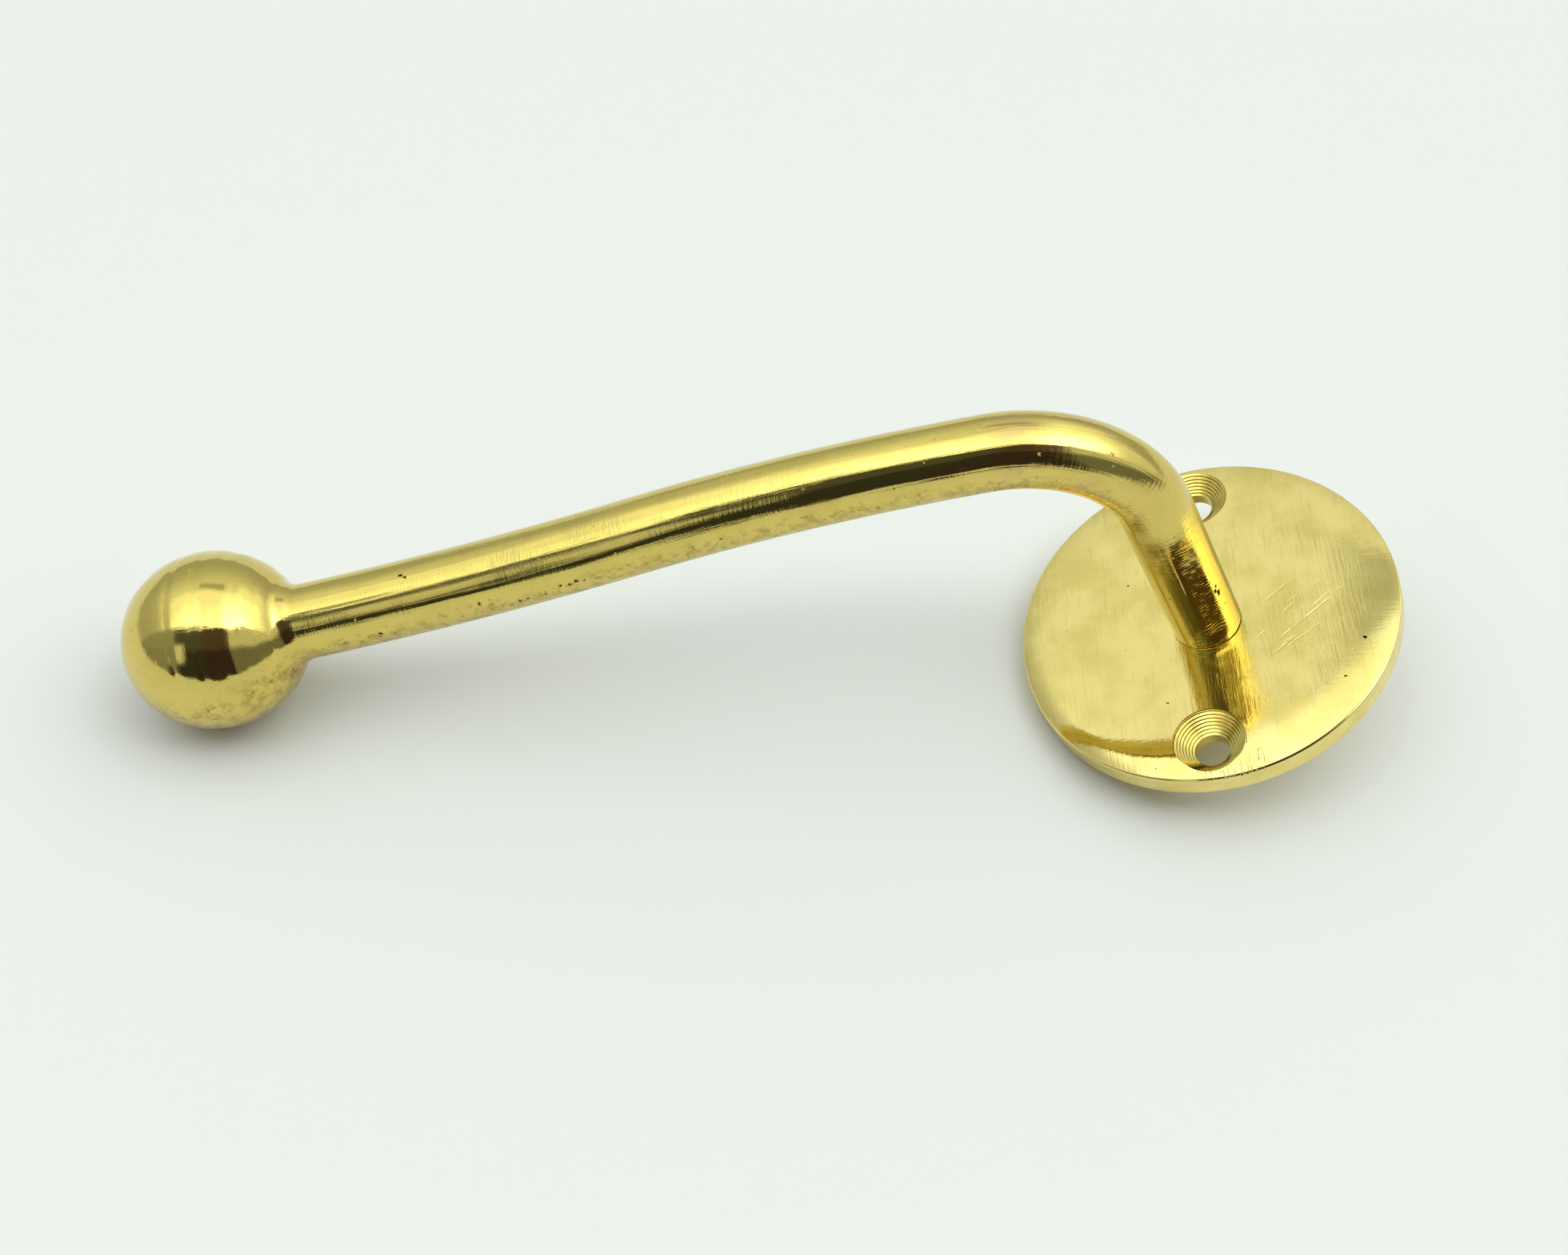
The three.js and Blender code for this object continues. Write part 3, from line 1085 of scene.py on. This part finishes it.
ARM_PITS = (  # mm from the foot, degrees round, mm from the centreline, size in mm
    (9.0, 50, 4.8, 0.5),
    (9.8, 46, 4.8, 0.42),
    (10.5, 50, 4.8, 0.34),
    (6.1, 55, 4.8, 0.28),
    (126.7, 85, 4.9, 0.32),
    (126.0, 80, 4.9, 0.24),
    (103.2, 1, 4.9, 0.2),
    (104.2, 3, 4.9, 0.32),
    (105.2, 0, 4.9, 0.28),
    (106.4, 4, 4.9, 0.26),
    (108.8, -7, 4.9, 0.18),
    (111.2, -6, 4.9, 0.22),
    (112.3, -7, 4.9, 0.26),
    (113.5, -7, 4.9, 0.2),
    (117.3, 11, 4.9, 0.2),
    (131.5, 0, 4.9, 0.22),
)
arm_pits = [(on_rod(*place), size * MM) for *place, size in ARM_PITS]
pit(rod, arm_pits, density=20000.0, largest=0.16 * MM, seed=4)
crisp(rod, 40)
print("arm:", sum(len(p.vertices) - 2 for p in rod.data.polygons), "triangles")

# %% [markdown]
# ## The joining screw
# Turned like the rest, with its thread made by moving each vertex inwards by an amount that
# follows its climb round the shank. The slot is milled last.

# %% Joining screw
PITCH = 0.8 * MM
THREAD_DEPTH = 0.42 * MM
SLOT_WIDTH = 1.2 * MM
SLOT_DEPTH = 1.1 * MM
SCREW_REACH = 12 * MM
HEAD_EDGE = 0.15 * MM
THREAD_RINGS = 150


def screw_outline():
    under = BACK + SEAT_GAP
    neck = under + SCREW_HEAD_RADIUS - SCREW_RADIUS
    tip = CROWN + SCREW_REACH
    outline = [(0, under), (SCREW_HEAD_RADIUS - HEAD_EDGE, under)]
    outline.append((SCREW_HEAD_RADIUS, under + HEAD_EDGE))
    shank = tip - neck - 0.4 * MM
    for k in range(THREAD_RINGS + 1):
        outline.append((SCREW_RADIUS, neck + k / THREAD_RINGS * shank))
    outline += [(SCREW_RADIUS - 0.4 * MM, tip), (0, tip)]
    return outline


screw = turned("joining_screw_visual", screw_outline(), 72)
thread_start = BACK + SEAT_GAP + SCREW_HEAD_RADIUS - SCREW_RADIUS + 0.6 * MM
for vertex in screw.data.vertices:
    radius = vertex.co.xy.length
    if vertex.co.z < thread_start or radius < SCREW_RADIUS - 0.01 * MM:
        continue
    climb = vertex.co.z / PITCH - math.atan2(vertex.co.y, vertex.co.x) / (2 * math.pi)
    wave = abs((climb % 1) * 2 - 1)
    scale = 1 - wave * THREAD_DEPTH / radius
    vertex.co.x *= scale
    vertex.co.y *= scale
slot = turned("slot", [(0, -1), (0.7, -1), (0.7, 1), (0, 1)], 4)
slot.data.transform(Matrix.Rotation(math.radians(45), 4, "Z"))
slot.data.transform(Matrix.Diagonal((20 * MM, SLOT_WIDTH, SLOT_DEPTH, 1)))
slot.data.transform(Matrix.Translation((0, 0, BACK + SEAT_GAP)))
cut(screw, [slot])
screw.data.materials.clear()
screw.data.materials.append(screw_brass)
crisp(screw, 35)
screw.data.transform(rose_to_row @ Matrix.Translation((0, -FOOT_SHIFT, 0)))
print("screw:", len(screw.data.polygons), "faces")

# %% [markdown]
# ## Binding the pieces
# Each new piece stands for its node of the frame and moves with that node's body: the rose
# stays on the wall, and the screw turns with the arm.

# %% Bind the pieces
for piece, node, body, finish in (
    (rose, "rose", "rose_body", "polished_rose_brass"),
    (rod, "ball_arm", "arm_body", "polished_cast_brass"),
    (screw, "joining_screw", "arm_body", "turned_screw_brass"),
):
    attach(piece, body)
    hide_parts(node)
    print(piece.name, "rides", body)

# %% Sizes
seen_low, seen_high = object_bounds()
corners = (seen_low, seen_high)
print("finished box in mm:", [[round(c / MM, 2) for c in corner] for corner in corners])
